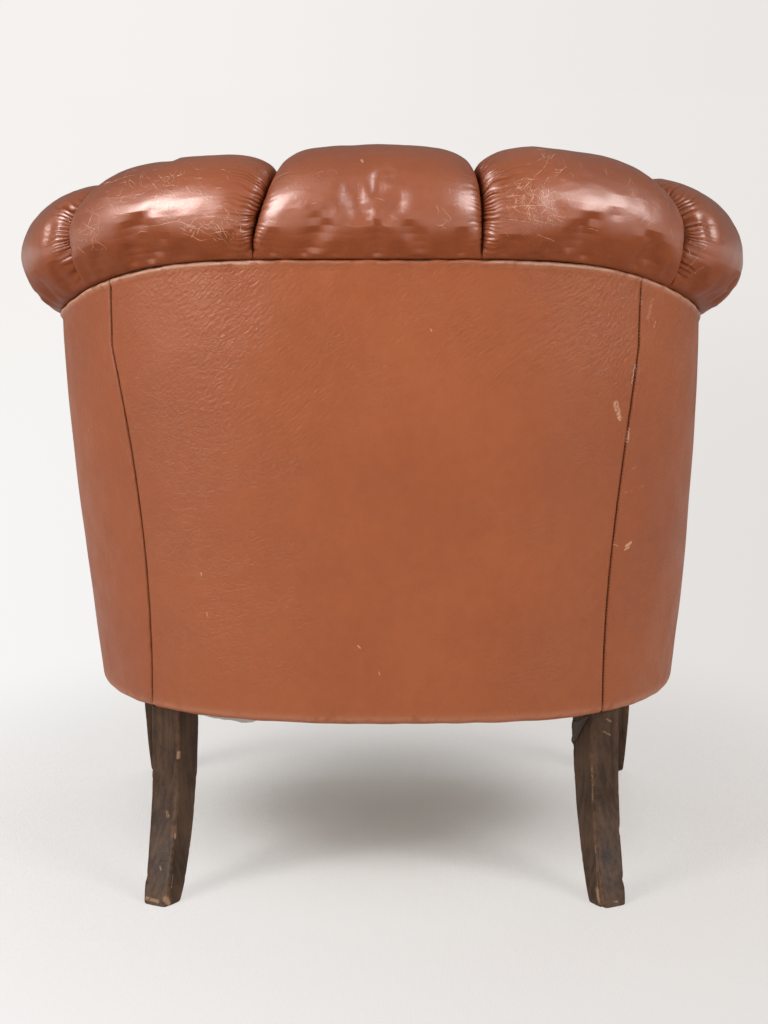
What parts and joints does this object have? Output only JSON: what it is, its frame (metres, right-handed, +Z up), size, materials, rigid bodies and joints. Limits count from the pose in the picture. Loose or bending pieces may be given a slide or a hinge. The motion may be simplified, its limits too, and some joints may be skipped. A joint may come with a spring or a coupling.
{
  "type": "club chair",
  "caption": "Worn leather club chair: a curved tub with five padded rolls round its top edge, a loose seat cushion and square wooden legs, the back pair swept out.",
  "frame": {"origin": "on the floor, under the middle of the chair seen from above", "axes": "+Z up, the sitter faces -Y, +X is on the sitter's left"},
  "size_m": [0.7732, 0.6696, 0.8088],
  "materials": {
    "leather": "worn satin",
    "dark_wood": "worn stain",
    "frame_wood": "bare",
    "jute": "coarse weave",
    "wadding": "matted",
    "cotton": "plain weave",
    "steel": "dull"
  },
  "bodies": {
    "root": {"outside_back": "leather", "outside_arm_left": "leather", "outside_arm_right": "leather", "back_roll_centre": "leather", "back_roll_left": "leather", "back_roll_right": "leather", "arm_roll_left": "leather", "arm_roll_right": "leather", "arm_facing_left": "leather", "arm_facing_right": "leather", "front_border": "leather", "seat_cushion": "leather", "seat_deck": "leather", "leg_back_left": "dark_wood", "leg_back_right": "dark_wood", "leg_front_left": "dark_wood", "leg_front_right": "dark_wood", "seat_rail_back": "frame_wood", "seat_rail_front": "frame_wood", "seat_rail_left": "frame_wood", "seat_rail_right": "frame_wood", "top_rail": "frame_wood", "arm_rail_left": "frame_wood", "arm_rail_right": "frame_wood", "back_post_left": "frame_wood", "back_post_right": "frame_wood", "corner_post_left": "frame_wood", "corner_post_right": "frame_wood", "front_post_left": "frame_wood", "front_post_right": "frame_wood", "corner_block_back_left": "frame_wood", "corner_block_back_right": "frame_wood", "corner_block_front_left": "frame_wood", "corner_block_front_right": "frame_wood", "webbing_long_1": "jute", "webbing_long_2": "jute", "webbing_long_3": "jute", "webbing_cross_1": "jute", "webbing_cross_2": "jute", "webbing_cross_3": "jute", "spring_hessian": "jute", "wall_lining": "jute", "seat_padding": "wadding", "dust_cover": "cotton", "seat_spring_1": "steel", "seat_spring_2": "steel", "seat_spring_3": "steel", "seat_spring_4": "steel", "seat_spring_5": "steel", "seat_spring_6": "steel", "seat_spring_7": "steel", "seat_spring_8": "steel", "seat_spring_9": "steel", "glide_front_left": "steel", "glide_front_right": "steel", "leg_bolt_back_left": "steel", "leg_bolt_back_right": "steel", "leg_bolt_front_left": "steel", "leg_bolt_front_right": "steel"}
  },
  "joints": []
}
